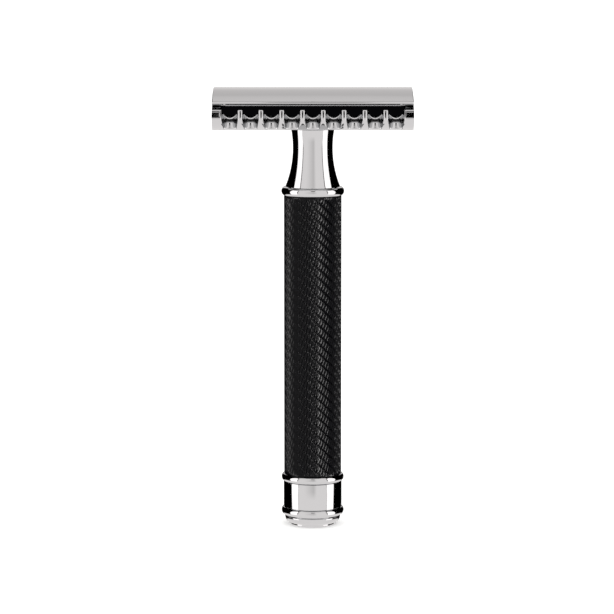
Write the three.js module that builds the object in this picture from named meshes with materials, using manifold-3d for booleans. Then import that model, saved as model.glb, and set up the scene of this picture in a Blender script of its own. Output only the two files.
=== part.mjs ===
// A three-piece safety razor: an open-comb double-edge head on a turned metal handle.
//
// The cap carries a threaded stud and two locating pins. They pass through the blade and the comb
// plate, and the stud screws into a brass bush in the handle's neck, which clamps the blade.
// The handle is a neck ferrule, a grip sleeve and an end collar, drawn together by a tie rod and a nut.
//
// Frame: millimetres, +Z up the handle, X along the blade's edges, Y from one edge to the other.
// The origin is the middle of the flat foot, so the razor stands on z = 0.
import * as THREE from "three";
import { mergeVertices } from "three/addons/utils/BufferGeometryUtils.js";
import Module from "manifold-3d";

const wasm = await Module();
wasm.setup();

// ---- Driving dimensions, in millimetres ----

const HEAD_LENGTH = 43.2; // along X, just longer than a blade
const CROWN_Z = 96.6; // top of the cap, so the height of the razor
const FIT_GAP = 0.1; // between turned pieces that fit in each other
const SEAT_GAP = 0.3; // between pieces that stand on each other

// Blade: a standard double-edge blade, bent over the comb plate.
const BLADE_LENGTH = 42.8;
const BLADE_EDGE_LENGTH = 37.4;
const BLADE_HALF_WIDTH = 10.86; // 11 mm flat, a little less when bent
const BLADE_THICKNESS = 0.1;
const BLADE_TAB_HALF_WIDTH = 6.6;
const BLADE_BEND_RADIUS = 36;
const BLADE_TOP_Z = 94.99; // middle of the sheet at y = 0
const BLADE_GAP = 0.1; // to the cap above and the comb plate below
const BLADE_SLOT_HALF_WIDTH = 0.95;

// Cap
const CAP_HALF_WIDTH = 10.2;
const CAP_CROWN_RADIUS = 21.63;
const CAP_SHOULDER_Y = 9.95; // where the crown's arc ends and the rim rounds over

// Comb plate
const PLATE_BOTTOM_Z = 88;
const TOOTH_Y = 12.8; // outermost point of a tooth
const TOOTH_Z = 90.7; // the height of that point
const TIP_Z = 92.6;
const RIDGE_Y = 9.25; // outer edge of the blade's bed
const FLAT_Y = 8.8; // half the width of the flat underside
const TOOTH_SHOULDER = [12.52, 92.15]; // where the tooth's front rounds over into its tip
const TIP_Y = 12.05;
const CHANNEL_X = 19.62; // half the length of the channel behind the teeth; solid blocks close its ends
const SLOT_COUNT = 9;
const SLOT_PITCH = 4.44;
const SLOT_HALF_WIDTH = 1.74;
const SLOT_ROOT_Y = 10.2; // how far in a slot reaches, through the flange that carries the teeth
const FLUTE_HALF_WIDTH = 1.6; // the flute below the flange is narrower, so a tooth widens downwards
const FLUTE_ROOT_Y = 9.3;
const FLANGE_UNDERSIDE_Z = 90.2;
const CUT_OVERLAP = 0.3; // how far one cutter reaches into the opening another has made
const FLUTE_FLOOR_Z = 88.5;
const POCKET = { x0: 8.6, x1: 17.8, halfWidth: 4.6, top: 92, corner: 1.4 }; // underside, casts lighter

// Stud, pins and their holes
const STUD_RADIUS = 2.4;
const STUD_TIP_Z = 80.9;
const STUD_HOLE_RADIUS = 2.75;
const PIN_X = 15;
const PIN_RADIUS = 1.1;
const PIN_HOLE_RADIUS = 1.4;
const PIN_TIP_Z = 91.2;
const ROOT_DEPTH = 0.6; // how far the stud and the pins are let into the cap

// Handle
const NECK_TOP_Z = PLATE_BOTTOM_Z - SEAT_GAP;
const NECK_WAIST = { r: 4.36, z: 83.47, arc: 22.4 };
const NECK_BEAD = { r: 6.2, z: 74.05, a: 0.68, b: 0.92 };
const BUSH = { outer: 3.3, bore: 2.5, bottom: 79.5, top: 87.4 };
const GRIP = { r: 6.3, bottom: 11.45, top: 73.1, bore: 4.6, mouth: 5.3, mouthDepth: 0.9 };
const SPIGOT = { r: 4.5, length: 8 };
const UPPER_BEAD = { r: 6.25, z: 10.62, a: 0.62, b: 0.79 };
const LOWER_BEAD = { r: 6.25, z: 3.12, a: 0.62, b: 0.82 };
const BAND_RADIUS = 6.41;
const PLUG = { r: 6.1, flat: 4.7, top: 2, shoulder: 1.5, stem: 4.9, stemTop: 3.9 };
const ROD = { r: 2, bottom: 3.2, top: 71 };
const NUT = { acrossFlats: 7, bottom: 4.2, height: 3.2 };
const WASHER = { r: 4.6, height: 0.8 };

const SEGMENTS = 36; // around a turned piece
const FINE_SEGMENTS = 18; // around a pin or a hole

// ---- Finishes ----

const finish = (color, roughness, metalness) => new THREE.MeshStandardMaterial({ color, roughness, metalness });
const CHROME = finish(0xd9d9db, 0.06, 1);
const BLADE_STEEL = finish(0xb9bcc0, 0.22, 1);
const STEEL = finish(0xa9acb0, 0.3, 1);
const BRASS = finish(0xc9a45a, 0.3, 1);
const BLACK_ANODISED = finish(0x17171a, 0.38, 0.6);
const RUBBER = finish(0x1c1c1c, 0.8, 0);

// ---- Shape helpers ----

// A closed geometry as a manifold-3d solid.
function solidOf(geometry) {
  const bare = geometry.clone();
  bare.deleteAttribute("normal");
  bare.deleteAttribute("uv");
  const merged = mergeVertices(bare, 1e-4);
  return new wasm.Manifold(
    new wasm.Mesh({
      numProp: 3,
      vertProperties: merged.getAttribute("position").array,
      triVerts: new Uint32Array(merged.index.array),
    }),
  );
}

// A manifold-3d solid as a geometry.
function geometryOf(solid) {
  const { numProp, vertProperties, triVerts } = solid.getMesh();
  const count = vertProperties.length / numProp;
  const positions = new Float32Array(count * 3);
  for (let i = 0; i < count; i++) {
    positions.set(vertProperties.subarray(i * numProp, i * numProp + 3), i * 3);
  }
  const geometry = new THREE.BufferGeometry();
  geometry.setAttribute("position", new THREE.BufferAttribute(positions, 3));
  geometry.setIndex(new THREE.BufferAttribute(triVerts, 1));
  geometry.computeVertexNormals();
  return geometry;
}

// A profile of (radius, height) points turned about the Z axis. It runs up the outside of the piece.
function turned(profile, segments = SEGMENTS) {
  return new THREE.LatheGeometry(profile, segments).rotateX(Math.PI / 2);
}

// An outline in X and Y, raised from one height to another.
function standing(outline, bottom, top) {
  const geometry = new THREE.ExtrudeGeometry(new THREE.Shape(outline), {
    depth: top - bottom,
    bevelEnabled: false,
  });
  return geometry.translate(0, 0, bottom);
}

// An outline in Y and Z, run along X and centred on it.
function alongX(outline, length) {
  const geometry = new THREE.ExtrudeGeometry(new THREE.Shape(outline), {
    depth: length,
    bevelEnabled: false,
  });
  const turn = new THREE.Matrix4().makeBasis(
    new THREE.Vector3(0, 1, 0),
    new THREE.Vector3(0, 0, 1),
    new THREE.Vector3(1, 0, 0),
  );
  return geometry.applyMatrix4(turn).translate(-length / 2, 0, 0);
}

// A round bar or hole tool on an axis parallel to Z.
function roundBar(radius, bottom, top, x = 0, segments = FINE_SEGMENTS) {
  const profile = [point(0, bottom), point(radius, bottom), point(radius, top), point(0, top)];
  return turned(profile, segments).translate(x, 0, 0);
}

function box(x0, x1, y0, y1, z0, z1) {
  const geometry = new THREE.BoxGeometry(x1 - x0, y1 - y0, z1 - z0);
  return geometry.translate((x0 + x1) / 2, (y0 + y1) / 2, (z0 + z1) / 2);
}

const point = (x, y) => new THREE.Vector2(x, y);

// Points of an arc of an ellipse, from one angle to another, in degrees.
function arc(cx, cy, a, b, from, to, steps) {
  return Array.from({ length: steps + 1 }, (_, i) => {
    const angle = THREE.MathUtils.degToRad(from + ((to - from) * i) / steps);
    return point(cx + a * Math.cos(angle), cy + b * Math.sin(angle));
  });
}

// Points of a smooth curve through a few given points.
const curve = (points, steps) => new THREE.SplineCurve(points).getPoints(steps);

// A half outline on the side of positive x, closed by its own mirror image.
function mirrored(half) {
  const other = half.filter((p) => p.x > 1e-6).map((p) => point(-p.x, p.y));
  return [...half, ...other.reverse()];
}

// Height of the bent blade's middle surface, moved out along its normal by offset.
function bladeArc(y, offset = 0) {
  const radius = BLADE_BEND_RADIUS + offset;
  return BLADE_TOP_Z - BLADE_BEND_RADIUS + Math.sqrt(radius ** 2 - y ** 2);
}

// Points of that surface from one y to another.
function bladeLine(from, to, offset, steps) {
  return Array.from({ length: steps + 1 }, (_, i) => {
    const y = from + ((to - from) * i) / steps;
    return point(y, bladeArc(y, offset));
  });
}

function subtractAll(solid, tools) {
  return tools.reduce((rest, tool) => rest.subtract(solidOf(tool)), solid);
}

// ---- Head ----

const CAP_UNDERSIDE = BLADE_THICKNESS / 2 + BLADE_GAP; // offset from the blade's middle surface
const PLATE_TOP = -CAP_UNDERSIDE;

// Crescent section: a shallow crown over the bent blade, with a rounded rim.
function topCap() {
  const centre = CROWN_Z - CAP_CROWN_RADIUS;
  const end = THREE.MathUtils.radToDeg(Math.acos(CAP_SHOULDER_Y / CAP_CROWN_RADIUS));
  const crown = arc(0, centre, CAP_CROWN_RADIUS, CAP_CROWN_RADIUS, 90, end, 8);
  const shoulder = crown.at(-1);
  const rim = point(CAP_HALF_WIDTH, bladeArc(CAP_HALF_WIDTH, CAP_UNDERSIDE));
  const round = new THREE.QuadraticBezierCurve(shoulder, point(rim.x + 0.04, shoulder.y - 0.13), rim);
  const underside = bladeLine(CAP_HALF_WIDTH, 0, CAP_UNDERSIDE, 8);
  const half = [...crown, ...round.getPoints(3).slice(1), ...underside.slice(1)];
  const body = solidOf(alongX(mirrored(half).reverse(), HEAD_LENGTH));
  const rootTop = bladeArc(0, CAP_UNDERSIDE) + ROOT_DEPTH + FIT_GAP;
  const sockets = [
    roundBar(STUD_RADIUS - 0.5, rootTop - 3, rootTop),
    ...[-PIN_X, PIN_X].map((x) => roundBar(PIN_RADIUS - 0.2, rootTop - 3, rootTop, x)),
  ];
  return geometryOf(subtractAll(body, sockets));
}

// A round post under the cap, with a thinner root let into it and a chamfered tip.
function capPost(radius, rootRadius, tipZ, tipChamfer, x) {
  const shoulderZ = bladeArc(radius, CAP_UNDERSIDE) - FIT_GAP;
  const rootZ = bladeArc(0, CAP_UNDERSIDE) + ROOT_DEPTH;
  const profile = [
    point(0, tipZ),
    point(radius - tipChamfer, tipZ),
    point(radius, tipZ + tipChamfer),
    point(radius, shoulderZ),
    point(rootRadius, shoulderZ),
    point(rootRadius, rootZ),
    point(0, rootZ),
  ];
  return turned(profile, FINE_SEGMENTS).translate(x, 0, 0);
}

// A thin bent sheet, cut to the blade's outline.
function razorBlade() {
  const half = BLADE_THICKNESS / 2;
  const over = bladeLine(-BLADE_HALF_WIDTH, BLADE_HALF_WIDTH, half, 16);
  const under = bladeLine(BLADE_HALF_WIDTH, -BLADE_HALF_WIDTH, -half, 16);
  const sheet = solidOf(alongX([...over, ...under].reverse(), BLADE_LENGTH));
  const [x0, x1, y0] = [BLADE_EDGE_LENGTH / 2, BLADE_LENGTH / 2 + 1, BLADE_TAB_HALF_WIDTH];
  const y1 = BLADE_HALF_WIDTH + 1;
  const corner = [
    point(x1, y0),
    point(x1, y1),
    point(x0, y1),
    point(x0, y0 + 1.6),
    ...arc(x0 + 1.6, y0 + 1.6, 1.6, 1.6, 180, 270, 4),
  ];
  const corners = [1, -1].flatMap((sx) =>
    [1, -1].map((sy) => {
      const outline = corner.map((p) => point(sx * p.x, sy * p.y));
      return standing(outline, PLATE_BOTTOM_Z, CROWN_Z);
    }),
  );
  const slot = BLADE_SLOT_HALF_WIDTH;
  const openings = [
    box(-PIN_X, PIN_X, -slot, slot, PLATE_BOTTOM_Z, CROWN_Z),
    roundBar(STUD_HOLE_RADIUS, PLATE_BOTTOM_Z, CROWN_Z),
    ...[-PIN_X, PIN_X].map((x) => roundBar(PIN_HOLE_RADIUS + 0.15, PLATE_BOTTOM_Z, CROWN_Z, x)),
  ];
  return geometryOf(subtractAll(sheet, [...corners, ...openings]));
}

// The plate's half section with its channels still filled, from the middle of the bottom round to the
// middle of the bed.
function plateSection() {
  const shoulder = point(...TOOTH_SHOULDER);
  const front = curve([point(9.6, 88.12), point(11, 88.8), point(12.25, 89.7), point(TOOTH_Y, TOOTH_Z), shoulder], 7);
  const tip = curve([shoulder, point(12.33, 92.5), point(TIP_Y, TIP_Z)], 3).slice(1);
  const blockTop = [point(11.6, TIP_Z), point(9.7, 93.2)];
  const base = [point(0, PLATE_BOTTOM_Z), point(FLAT_Y, PLATE_BOTTOM_Z)];
  return [...base, ...front, ...tip, ...blockTop, ...bladeLine(RIDGE_Y, 0, PLATE_TOP, 8)];
}

// The section of the channel between the teeth and the bed. It crosses the plate's top at a steep angle.
function channelSection(side) {
  const floor = curve([point(11.78, 92.2), point(11.35, 91.5), point(10.7, 91.05), point(10.1, 90.9), point(9.65, 91.2)], 6);
  const outline = [point(11.98, 94), point(11.9, 92.45), ...floor, point(9.5, 92), point(9.42, 93.3), point(9.34, 95)];
  return outline.map((p) => point(side * p.x, p.y));
}

// A slot's outline seen from above: open on the outside, round at its root.
function slotOutline(x, side, halfWidth, rootY) {
  const round = arc(0, rootY + halfWidth, halfWidth, halfWidth, 180, 360, 6);
  const outer = TOOTH_Y + 2;
  const outline = [...round, point(halfWidth, outer), point(-halfWidth, outer)];
  return outline.map((p) => point(x + p.x, side * p.y));
}

// A rectangle with round corners, seen from above.
function pocketOutline(side) {
  const { x0, x1, halfWidth, corner } = POCKET;
  const [ax, bx, y] = [x0 + corner, x1 - corner, halfWidth - corner];
  const outline = [
    ...arc(bx, y, corner, corner, 0, 90, 3),
    ...arc(ax, y, corner, corner, 90, 180, 3),
    ...arc(ax, -y, corner, corner, 180, 270, 3),
    ...arc(bx, -y, corner, corner, 270, 360, 3),
  ];
  return outline.map((p) => point(side * p.x, p.y));
}

function combPlate() {
  const body = solidOf(alongX(mirrored(plateSection()), HEAD_LENGTH));
  const tools = [1, -1].map((side) => alongX(channelSection(side), 2 * CHANNEL_X));
  for (let i = 0; i < SLOT_COUNT; i++) {
    const x = (i - (SLOT_COUNT - 1) / 2) * SLOT_PITCH;
    for (const side of [1, -1]) {
      const slot = slotOutline(x, side, SLOT_HALF_WIDTH, SLOT_ROOT_Y);
      const flute = slotOutline(x, side, FLUTE_HALF_WIDTH, FLUTE_ROOT_Y);
      tools.push(standing(slot, FLANGE_UNDERSIDE_Z - CUT_OVERLAP, CROWN_Z));
      tools.push(standing(flute, FLUTE_FLOOR_Z, FLANGE_UNDERSIDE_Z));
    }
  }
  for (const side of [1, -1]) {
    tools.push(standing(pocketOutline(side), PLATE_BOTTOM_Z - 1, POCKET.top));
    tools.push(roundBar(PIN_HOLE_RADIUS, PLATE_BOTTOM_Z, CROWN_Z, side * PIN_X));
  }
  tools.push(roundBar(STUD_HOLE_RADIUS, PLATE_BOTTOM_Z - 1, CROWN_Z));
  return geometryOf(subtractAll(body, tools));
}

// ---- Handle ----

// A half-round ring on a turned piece, from its lower edge to its upper edge.
const bead = ({ r, z, a, b }, steps = 6) => arc(r, z, a, b, -80, 80, steps);

// The concave neck with its bead, and a spigot that centres the grip sleeve.
function neckFerrule() {
  const { r, z, arc: sweep } = NECK_WAIST;
  const beadTop = bead(NECK_BEAD).at(-1);
  const from = 180 + THREE.MathUtils.radToDeg(Math.asin((z - beadTop.y - 0.12) / sweep));
  const to = 180 - THREE.MathUtils.radToDeg(Math.asin((NECK_TOP_Z - 0.45 - z) / sweep));
  const neck = arc(r + sweep, z, sweep, sweep, from, to, 9);
  const profile = [
    point(ROD.r + FIT_GAP, GRIP.top - SPIGOT.length),
    point(SPIGOT.r - 0.4, GRIP.top - SPIGOT.length),
    point(SPIGOT.r, GRIP.top - SPIGOT.length + 0.4),
    point(SPIGOT.r, NECK_BEAD.z - NECK_BEAD.b),
    ...bead(NECK_BEAD),
    ...neck,
    point(4.82, NECK_TOP_Z - 0.3),
    point(4.82, NECK_TOP_Z - 0.12),
    point(4.7, NECK_TOP_Z),
    point(BUSH.outer + FIT_GAP, NECK_TOP_Z),
    point(BUSH.outer + FIT_GAP, BUSH.bottom - FIT_GAP),
    point(2.8, BUSH.bottom - FIT_GAP),
    point(2.8, ROD.top + FIT_GAP),
    point(ROD.r + FIT_GAP, ROD.top + FIT_GAP),
  ];
  return turned([...profile, profile[0]]);
}

function neckThreadBush() {
  const { outer, bore, bottom, top } = BUSH;
  const profile = [
    point(bore, bottom),
    point(outer, bottom),
    point(outer, top),
    point(bore + 0.3, top),
    point(bore, top - 0.3),
  ];
  return turned([...profile, profile[0]]);
}

// A tube with a wider mouth at each end, where a seal ring sits.
function gripSleeve() {
  const { r, bottom, top, bore, mouth, mouthDepth } = GRIP;
  const profile = [
    point(mouth, bottom),
    point(r - 0.15, bottom),
    point(r, bottom + 0.15),
    point(r, top - 0.15),
    point(r - 0.15, top),
    point(mouth, top),
    point(mouth, top - mouthDepth),
    point(bore, top - mouthDepth),
    point(bore, bottom + mouthDepth),
    point(mouth, bottom + mouthDepth),
  ];
  return turned([...profile, profile[0]]);
}

// A rubber ring round a spigot, in the sleeve's mouth.
function sealRing(z) {
  const ring = arc((SPIGOT.r + GRIP.mouth) / 2, z, 0.3, 0.3, -135, 225, 6);
  ring[ring.length - 1] = ring[0];
  return turned(ring);
}

// The band between its two beads, with a spigot above and a chamber for the nut below.
function endCollar() {
  const washerTop = NUT.bottom + NUT.height + WASHER.height;
  const profile = [
    point(PLUG.stem + FIT_GAP, LOWER_BEAD.z - LOWER_BEAD.b),
    ...bead(LOWER_BEAD),
    point(BAND_RADIUS, LOWER_BEAD.z + LOWER_BEAD.b + 0.1),
    point(BAND_RADIUS, UPPER_BEAD.z - UPPER_BEAD.b - 0.1),
    ...bead(UPPER_BEAD),
    point(SPIGOT.r, GRIP.bottom),
    point(SPIGOT.r, GRIP.bottom + SPIGOT.length - 0.4),
    point(SPIGOT.r - 0.4, GRIP.bottom + SPIGOT.length),
    point(ROD.r + FIT_GAP, GRIP.bottom + SPIGOT.length),
    point(ROD.r + FIT_GAP, washerTop + FIT_GAP),
    point(PLUG.stem + FIT_GAP, washerTop + FIT_GAP),
  ];
  return turned([...profile, profile[0]]);
}

function collarWasher() {
  const bottom = NUT.bottom + NUT.height + FIT_GAP;
  const profile = [
    point(ROD.r + FIT_GAP, bottom),
    point(WASHER.r, bottom),
    point(WASHER.r, bottom + WASHER.height - FIT_GAP),
    point(ROD.r + FIT_GAP, bottom + WASHER.height - FIT_GAP),
  ];
  return turned([...profile, profile[0]]);
}

// A hexagon nut on the tie rod.
function tieNut() {
  const corner = NUT.acrossFlats / 2 / Math.cos(Math.PI / 6);
  const outline = arc(0, 0, corner, corner, 0, 300, 5);
  const body = solidOf(standing(outline, NUT.bottom, NUT.bottom + NUT.height));
  const bore = roundBar(ROD.r + FIT_GAP, NUT.bottom - 1, NUT.bottom + NUT.height + 1, 0, SEGMENTS);
  return geometryOf(subtractAll(body, [bore]));
}

function tieRod() {
  const profile = [
    point(0, ROD.bottom),
    point(ROD.r - 0.3, ROD.bottom),
    point(ROD.r, ROD.bottom + 0.3),
    point(ROD.r, ROD.top - 0.3),
    point(ROD.r - 0.3, ROD.top),
    point(0, ROD.top),
  ];
  return turned(profile);
}

// The foot: a flat disc with a rounded edge, on a hollow stem pressed into the collar.
function endPlug() {
  const { r, flat, top, shoulder, stem, stemTop } = PLUG;
  const profile = [
    point(0, 0),
    ...arc(flat, shoulder, r - flat, shoulder, -90, 0, 5),
    point(r, top - 0.1),
    point(r - 0.1, top),
    point(stem, top),
    point(stem, stemTop),
    point(stem - 0.9, stemTop),
    point(stem - 0.9, top),
    point(0, top),
  ];
  return turned(profile);
}

// ---- Assembly ----

const razor = new THREE.Group();

function add(name, geometry, material) {
  const mesh = new THREE.Mesh(geometry, material);
  mesh.name = name;
  razor.add(mesh);
}

add("top_cap", topCap(), CHROME);
add("cap_stud", capPost(STUD_RADIUS, STUD_RADIUS - 0.6, STUD_TIP_Z, 0.5, 0), STEEL);
add("locating_pin_left", capPost(PIN_RADIUS, PIN_RADIUS - 0.3, PIN_TIP_Z, 0.3, -PIN_X), CHROME);
add("locating_pin_right", capPost(PIN_RADIUS, PIN_RADIUS - 0.3, PIN_TIP_Z, 0.3, PIN_X), CHROME);
add("razor_blade", razorBlade(), BLADE_STEEL);
add("comb_plate", combPlate(), CHROME);
add("neck_ferrule", neckFerrule(), CHROME);
add("neck_thread_bush", neckThreadBush(), BRASS);
add("upper_seal_ring", sealRing(GRIP.top - 0.45), RUBBER);
add("grip_sleeve", gripSleeve(), BLACK_ANODISED);
add("lower_seal_ring", sealRing(GRIP.bottom + 0.45), RUBBER);
add("tie_rod", tieRod(), STEEL);
add("end_collar", endCollar(), CHROME);
add("collar_washer", collarWasher(), STEEL);
add("tie_nut", tieNut(), STEEL);
add("end_plug", endPlug(), CHROME);

export default razor;
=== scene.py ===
# %% [markdown]
# # A safety razor in chrome and black
#
# This lesson dresses the CAD model of a three-piece safety razor. The CAD model is the fixed frame:
# it says where each piece is, how large it is and which body it moves with. Blender adds the fine
# surfaces. Nearly all of the razor is bright chrome, and chrome has no look of its own. It shows the
# room, so half of the work is in the shapes and the other half is in what stands around them.
#
# Lengths are written in millimetres and turned to metres when a mesh is made.

# %% The frame
import math

import bmesh
import bpy
import numpy as np
from mathutils import Matrix, Vector


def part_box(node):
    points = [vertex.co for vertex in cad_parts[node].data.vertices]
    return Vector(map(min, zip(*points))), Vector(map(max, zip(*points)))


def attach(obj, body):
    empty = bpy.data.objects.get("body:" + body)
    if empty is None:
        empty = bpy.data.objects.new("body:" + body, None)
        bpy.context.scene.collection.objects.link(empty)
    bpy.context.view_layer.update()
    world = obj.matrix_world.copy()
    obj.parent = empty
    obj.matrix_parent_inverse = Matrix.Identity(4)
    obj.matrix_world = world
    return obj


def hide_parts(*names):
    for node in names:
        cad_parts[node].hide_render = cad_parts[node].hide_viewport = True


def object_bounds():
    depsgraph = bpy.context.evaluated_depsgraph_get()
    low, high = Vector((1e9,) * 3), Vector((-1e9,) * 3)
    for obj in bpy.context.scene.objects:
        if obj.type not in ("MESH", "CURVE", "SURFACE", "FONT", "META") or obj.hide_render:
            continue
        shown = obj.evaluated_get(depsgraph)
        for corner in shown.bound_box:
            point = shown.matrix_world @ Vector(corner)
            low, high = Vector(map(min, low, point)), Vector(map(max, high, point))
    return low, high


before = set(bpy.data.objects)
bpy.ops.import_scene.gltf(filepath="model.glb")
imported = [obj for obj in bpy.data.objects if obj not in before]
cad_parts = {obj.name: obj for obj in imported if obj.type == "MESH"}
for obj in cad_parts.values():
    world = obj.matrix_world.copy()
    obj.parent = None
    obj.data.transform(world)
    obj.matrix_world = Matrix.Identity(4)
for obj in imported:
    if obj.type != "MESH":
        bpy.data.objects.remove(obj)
cad_low, cad_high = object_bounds()

MM = 0.001
HEIGHT = cad_high.z / MM
print(f"the razor stands {HEIGHT:.1f} mm tall, with a head {2 * cad_high.x / MM:.1f} mm long")


# %% Heights and radii, read from the CAD nodes
def span(node):
    """Lowest and highest corner of a CAD node, in millimetres."""
    low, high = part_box(node)
    return np.array(low) / MM, np.array(high) / MM


def height_range(node):
    """Lowest and highest z of a CAD node, in millimetres."""
    low, high = span(node)
    return low[2], high[2]


def outer_radius(node):
    """How far a CAD node reaches from the axis along Y, in millimetres."""
    return span(node)[1][1]


GRIP_BOTTOM, GRIP_TOP = height_range("grip_sleeve")
GRIP_RADIUS = outer_radius("grip_sleeve")
print(f"grip from {GRIP_BOTTOM:.2f} to {GRIP_TOP:.2f} mm, radius {GRIP_RADIUS:.2f} mm")

# %% [markdown]
# ## Camera
#
# The razor is seen from a little above, through a long lens from about 60 cm, so its upright lines
# stay nearly parallel. The camera aims at the middle of the razor's height.

# %% Camera
VIEW_DISTANCE = 605 * MM
VIEW_PITCH = math.radians(8)
AIM = Vector((-1.26 * MM, 0, HEIGHT * MM * 0.501))

camera = bpy.data.objects.new("camera", bpy.data.cameras.new("camera"))
bpy.context.scene.collection.objects.link(camera)
camera.data.sensor_width = 36
camera.data.lens = 161.45
camera.data.clip_end = 50
back = Vector((0, -math.cos(VIEW_PITCH), math.sin(VIEW_PITCH)))
camera.location = AIM + VIEW_DISTANCE * back
camera.rotation_euler = (math.pi / 2 - VIEW_PITCH, 0, 0)
bpy.context.scene.camera = camera
print("camera at", [round(v / MM, 1) for v in camera.location], "mm")

# %% [markdown]
# ## Nodes and colours
#
# Every material below is a small net of shader nodes. One function adds a node with its settings and
# links, and one turns the sRGB colours that people write into the linear values that Blender mixes.


# %% Node helpers
def linear(code, alpha=1.0):
    """An sRGB colour such as #C8CACC as linear red, green, blue and alpha."""
    channels = [int(code[i : i + 2], 16) / 255 for i in (1, 3, 5)]
    return [c / 12.92 if c <= 0.04045 else ((c + 0.055) / 1.055) ** 2.4 for c in channels] + [alpha]


def add_node(tree, kind, settings=None, inputs=None, **links):
    """Adds a node.

    Settings are its own properties, inputs are values for its sockets, and links are what feeds them.
    """
    node = tree.nodes.new(kind)
    for name, value in (settings or {}).items():
        setattr(node, name, value)
    for name, value in (inputs or {}).items():
        node.inputs[name].default_value = value
    for name, source in links.items():
        tree.links.new(source, node.inputs[name.replace("_", " ")])
    return node


def new_material(name):
    """An empty material and its node tree, with the output node in place."""
    material = bpy.data.materials.new(name)
    material.use_nodes = True
    material.node_tree.nodes.clear()
    output = material.node_tree.nodes.new("ShaderNodeOutputMaterial")
    return material, material.node_tree, output


# %% [markdown]
# ## Studio
#
# Bright metal is photographed inside a tent, because it shows nothing but its surroundings. Here a pale
# sheet comes up in front and runs over the top, which gives the middle of each round part its soft grey.
# A white light box on either side gives the bright stripes, and black cards behind them draw the dark
# edges that set chrome off from a white background. The narrow gap between sheet and boxes matters as
# much: it is the thin dark line in every bead.
#
# The tent is one shell whose light changes with direction. Only reflections see it. The floor is lit by
# the white surroundings outside.


# %% World and floor
bpy.context.scene.view_settings.view_transform = "Standard"
world = bpy.data.worlds.new("white_surroundings")
bpy.context.scene.world = world
world.use_nodes = True
world.node_tree.nodes["Background"].inputs["Color"].default_value = linear("#FFFFFF")
world.node_tree.nodes["Background"].inputs["Strength"].default_value = 1.5


def link_stage(name, mesh, material):
    """A mesh of the studio: it isn't part of the razor."""
    obj = bpy.data.objects.new(name, mesh)
    mesh.materials.append(material)
    bpy.context.scene.collection.objects.link(obj)
    return obj


def pale_floor():
    """A square floor of matt white board, far wider than the camera sees."""
    material, tree, output = new_material("matt_white_board")
    shader = add_node(tree, "ShaderNodeBsdfDiffuse", inputs={"Color": linear("#FCFCFB")})
    tree.links.new(shader.outputs[0], output.inputs["Surface"])
    half = 12.0  # in metres
    corners = [(-half, -half, 0), (half, -half, 0), (half, half, 0), (-half, half, 0)]
    mesh = bpy.data.meshes.new("floor")
    mesh.from_pydata(corners, [], [(0, 1, 2, 3)])
    return link_stage("floor", mesh, material)


floor = pale_floor()
floor.location.z = -0.02 * MM
floor.visible_glossy = False
floor.visible_shadow = False


# %% Tent light
def tent_light():
    """Light whose strength is the shell's own attribute, so it can fade from one side to the other."""
    material, tree, output = new_material("studio_tent")
    glow = add_node(tree, "ShaderNodeAttribute", {"attribute_name": "glow"})
    light = {"Color": linear("#FFFBFA")}
    shader = add_node(tree, "ShaderNodeEmission", inputs=light, Strength=glow.outputs["Fac"])
    tree.links.new(shader.outputs[0], output.inputs["Surface"])
    material.cycles.emission_sampling = "NONE"
    return material


def soft_step(value, edge, width=1.0):
    """0 below the edge and 1 above it, with a straight ramp of the given width between."""
    return np.clip((value - edge) / width + 0.5, 0, 1)


# %% Light by direction
SEAM_TURN = [55, 56, 58, 64, 90, 135, 180]  # the gap between the sheet and all that stands under it
SEAM_RISE = [-90, 0, 32, 42, 60, 74, 76]


def tent_glow(turn, rise):
    """Strength for a turn off the camera's side (right is positive) and a rise over the horizon, in degrees.

    inside is the distance in degrees to the seam, positive on the sheet. The sheet, the seam, and the
    boxes, cards and back under it are blended by soft steps of inside and of the turn. The table takes
    over from them all a little under the horizon.
    """
    side = np.abs(turn)

    # Where the seam runs, and how far each direction is from it.
    across = np.interp(rise, SEAM_RISE, SEAM_TURN) + 4 * soft_step(-rise, 9, 8) - side - 1.5 * (turn > 0)
    above = rise - np.interp(side, SEAM_TURN, SEAM_RISE)
    inside = np.sign(across) * np.minimum(np.abs(across), np.abs(above))

    # The sheet, with a soft fold that dims it left of the middle and a dark opening over the camera.
    fold = np.where(turn < 2, np.clip((turn + 36) / 38, 0, 1) ** 1.3, np.clip((16 - turn) / 12, 0, 1))
    fold = fold * soft_step(rise, -13, 6) * soft_step(-rise, -42, 10)
    sheet = 1.1 - 0.28 * fold - 0.12 * soft_step(rise, 60, 30)
    dot = soft_step(rise, 40, 2) * soft_step(-rise, -55, 2) * soft_step(9 - np.abs(turn - 1), 0, 1)
    sheet = sheet * (1 - dot)

    # What stands under the sheet: boxes at the sides, black behind them, and a grey back.
    box = 1.9 * soft_step(91 - side, 0, 1)
    back = np.interp(rise, [-10, 8, 12, 20, 30, 45, 50, 60], [0.3, 0.4, 0.84, 0.79, 0.73, 0.73, 0.82, 0.9])
    under = box + back * soft_step(side, 162, 2)

    # The gap is wider high up, which leaves a soft dark line there. The table is below everything.
    gap = 2.6 * soft_step(rise, -6, 6) + 9 * soft_step(rise, 58, 20)
    glow = sheet * soft_step(inside, 0.5) + under * soft_step(-inside, 0.4 + gap)
    table = soft_step(-rise, 25, 3)
    return glow * (1 - table) + 1.08 * table


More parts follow.
